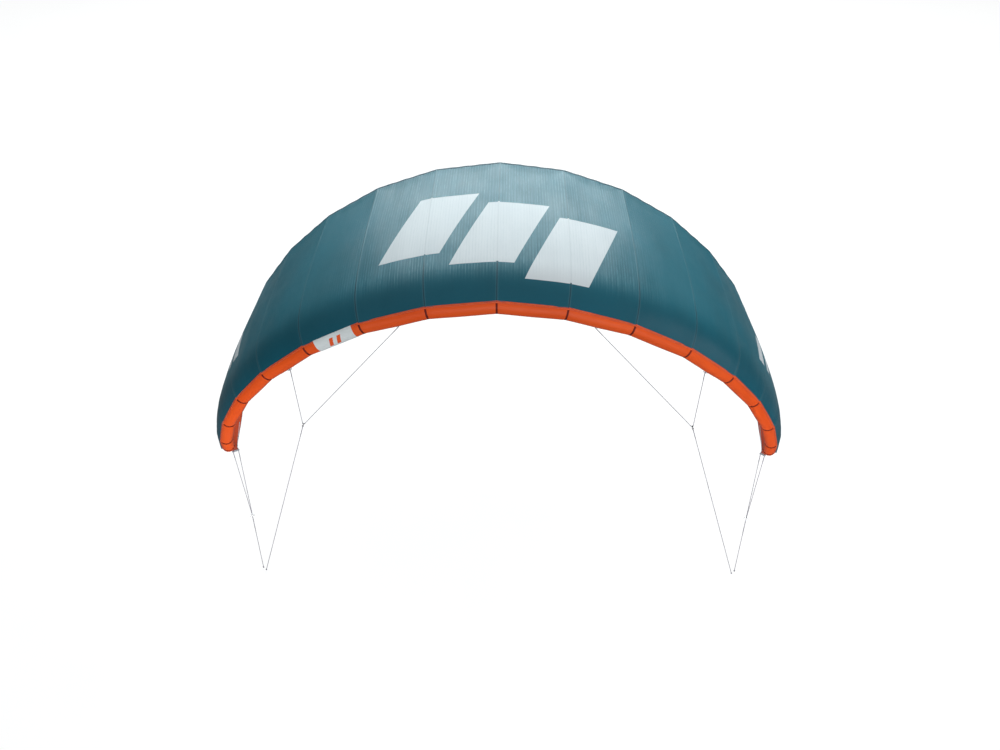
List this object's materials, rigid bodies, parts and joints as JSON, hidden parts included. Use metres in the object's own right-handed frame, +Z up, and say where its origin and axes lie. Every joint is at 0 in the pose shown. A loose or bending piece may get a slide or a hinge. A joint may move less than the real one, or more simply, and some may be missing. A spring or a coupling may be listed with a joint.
{
  "type": "kitesurf kite",
  "caption": "Inflatable leading-edge kitesurf kite: arched ripstop canopy on an air-filled tube with three struts, wingtip straps and a four-line bridle.",
  "frame": {"origin": "under the middle of the kite's bounding box, level with the lowest line end", "axes": "+X across the span to the right wingtip seen from the front lines, +Y back from the leading edge to the trailing edge, +Z up from the line ends to the top of the arc"},
  "size_m": [4.4676, 1.8846, 3.2146],
  "materials": {
    "canopy_fabric": "ripstop weave, satin sheen",
    "tube_fabric": "plain woven polyester, matt",
    "bladder_film": "thin translucent film",
    "hose_plastic": "smooth, slightly shiny",
    "black_plastic": "moulded, fine texture",
    "grey_plastic": "moulded, fine texture",
    "ring_steel": "polished",
    "bridle_line": "braided cord",
    "webbing": "woven webbing"
  },
  "bodies": {
    "kite": {"bridle_tab_inner_L": "webbing", "bridle_tab_inner_R": "webbing", "bridle_tab_outer_L": "webbing", "bridle_tab_outer_R": "webbing", "canopy_panel_1_L": "canopy_fabric", "canopy_panel_1_R": "canopy_fabric", "canopy_panel_2_L": "canopy_fabric", "canopy_panel_2_R": "canopy_fabric", "canopy_panel_3_L": "canopy_fabric", "canopy_panel_3_R": "canopy_fabric", "canopy_panel_4_L": "canopy_fabric", "canopy_panel_4_R": "canopy_fabric", "canopy_panel_5_L": "canopy_fabric", "canopy_panel_5_R": "canopy_fabric", "canopy_panel_6_L": "canopy_fabric", "canopy_panel_6_R": "canopy_fabric", "deflate_valve": "black_plastic", "hose_clip_base_centre": "black_plastic", "hose_clip_base_left": "black_plastic", "hose_clip_base_right": "black_plastic", "inflate_valve": "black_plastic", "inflation_hose_centre": "hose_plastic", "inflation_hose_left": "hose_plastic", "inflation_hose_right": "hose_plastic", "leading_edge_1_L": "tube_fabric", "leading_edge_1_R": "tube_fabric", "leading_edge_2_L": "tube_fabric", "leading_edge_2_R": "tube_fabric", "leading_edge_3_L": "tube_fabric", "leading_edge_3_R": "tube_fabric", "leading_edge_4_L": "tube_fabric", "leading_edge_4_R": "tube_fabric", "leading_edge_5_L": "tube_fabric", "leading_edge_5_R": "tube_fabric", "leading_edge_bladder": "bladder_film", "strut_bladder_centre": "bladder_film", "strut_bladder_left": "bladder_film", "strut_bladder_right": "bladder_film", "strut_centre": "tube_fabric", "strut_left": "tube_fabric", "strut_right": "tube_fabric", "wingtip_strap_L": "webbing", "wingtip_strap_R": "webbing"},
    "front_bridle_L": {"front_bridle_L": "bridle_line"},
    "front_ring_L": {"front_ring_L": "ring_steel"},
    "front_line_L": {"front_line_L": "bridle_line"},
    "tip_bridle_L": {"tip_bridle_L": "bridle_line"},
    "tip_ring_L": {"tip_ring_L": "ring_steel"},
    "rear_line_L": {"rear_line_L": "bridle_line"},
    "front_bridle_R": {"front_bridle_R": "bridle_line"},
    "front_ring_R": {"front_ring_R": "ring_steel"},
    "front_line_R": {"front_line_R": "bridle_line"},
    "tip_bridle_R": {"tip_bridle_R": "bridle_line"},
    "tip_ring_R": {"tip_ring_R": "ring_steel"},
    "rear_line_R": {"rear_line_R": "bridle_line"},
    "inflate_cap": {"inflate_valve_cap": "grey_plastic"},
    "deflate_plug": {"deflate_valve_plug": "grey_plastic"},
    "clip_jaw_centre": {"hose_clip_jaw_centre": "grey_plastic"},
    "clip_jaw_left": {"hose_clip_jaw_left": "grey_plastic"},
    "clip_jaw_right": {"hose_clip_jaw_right": "grey_plastic"}
  },
  "joints": [
    {"name": "front_bridle_swing_L", "type": "hinge", "parent": "kite", "child": "front_bridle_L", "pos_m": [-0.70943, -0.84698, 2.83525], "axis": [0.8587, -0.0855, 0.5053], "range_deg": [-40, 25]},
    {"name": "front_ring_swing_L", "type": "hinge", "parent": "front_bridle_L", "child": "front_ring_L", "pos_m": [-1.48389, -0.72849, 1.77585], "axis": [0.9666, -0.0398, -0.2531], "range_deg": [-30, 30]},
    {"name": "front_line_swing_L", "type": "hinge", "parent": "front_ring_L", "child": "front_line_L", "pos_m": [-1.48925, -0.72675, 1.7551], "axis": [-0.0589, -0.9959, -0.0683], "range_deg": [0, 35]},
    {"name": "tip_bridle_swing_L", "type": "hinge", "parent": "kite", "child": "tip_bridle_L", "pos_m": [-2.1199, -0.41776, 1.19612], "axis": [0.0661, -0.7553, 0.6521], "range_deg": [-40, 0]},
    {"name": "tip_ring_swing_L", "type": "hinge", "parent": "tip_bridle_L", "child": "tip_ring_L", "pos_m": [-2.04921, -0.34674, 0.42296], "axis": [0.1096, -0.8811, 0.46], "range_deg": [-30, 0]},
    {"name": "rear_line_swing_L", "type": "hinge", "parent": "tip_ring_L", "child": "rear_line_L", "pos_m": [-2.04545, -0.35616, 0.40401], "axis": [-0.9785, -0.177, -0.1057], "range_deg": [-20, 20]},
    {"name": "front_bridle_swing_R", "type": "hinge", "parent": "kite", "child": "front_bridle_R", "pos_m": [0.70943, -0.84698, 2.83525], "axis": [0.8587, 0.0855, -0.5053], "range_deg": [-40, 25]},
    {"name": "front_ring_swing_R", "type": "hinge", "parent": "front_bridle_R", "child": "front_ring_R", "pos_m": [1.48389, -0.72849, 1.77585], "axis": [0.9666, 0.0398, 0.2531], "range_deg": [-30, 30]},
    {"name": "front_line_swing_R", "type": "hinge", "parent": "front_ring_R", "child": "front_line_R", "pos_m": [1.48925, -0.72675, 1.7551], "axis": [-0.0589, 0.9959, 0.0683], "range_deg": [0, 35]},
    {"name": "tip_bridle_swing_R", "type": "hinge", "parent": "kite", "child": "tip_bridle_R", "pos_m": [2.1199, -0.41776, 1.19612], "axis": [0.0661, 0.7553, -0.6521], "range_deg": [-40, 0]},
    {"name": "tip_ring_swing_R", "type": "hinge", "parent": "tip_bridle_R", "child": "tip_ring_R", "pos_m": [2.04921, -0.34674, 0.42296], "axis": [0.1096, 0.8811, -0.46], "range_deg": [-30, 0]},
    {"name": "rear_line_swing_R", "type": "hinge", "parent": "tip_ring_R", "child": "rear_line_R", "pos_m": [2.04545, -0.35616, 0.40401], "axis": [-0.9785, 0.177, 0.1057], "range_deg": [-20, 20]},
    {"name": "inflate_cap_flip", "type": "hinge", "parent": "kite", "child": "inflate_cap", "pos_m": [0.22627, -0.82662, 2.95381], "axis": [-0.0398, -0.9062, -0.4209], "range_deg": [0, 150]},
    {"name": "deflate_plug_pull", "type": "slide", "parent": "kite", "child": "deflate_plug", "axis": [0.1159, 0.4226, -0.8989], "range_m": [0, 0.03]},
    {"name": "clip_jaw_open_centre", "type": "hinge", "parent": "kite", "child": "clip_jaw_centre", "pos_m": [-0.0155, -0.74276, 2.96778], "axis": [0, -1, 0], "range_deg": [0, 90]},
    {"name": "clip_jaw_open_left", "type": "hinge", "parent": "kite", "child": "clip_jaw_left", "pos_m": [-0.94594, -0.72072, 2.75398], "axis": [0, -1, 0], "range_deg": [0, 90]},
    {"name": "clip_jaw_open_right", "type": "hinge", "parent": "kite", "child": "clip_jaw_right", "pos_m": [0.91774, -0.72072, 2.76686], "axis": [0, -1, 0], "range_deg": [0, 90]}
  ]
}
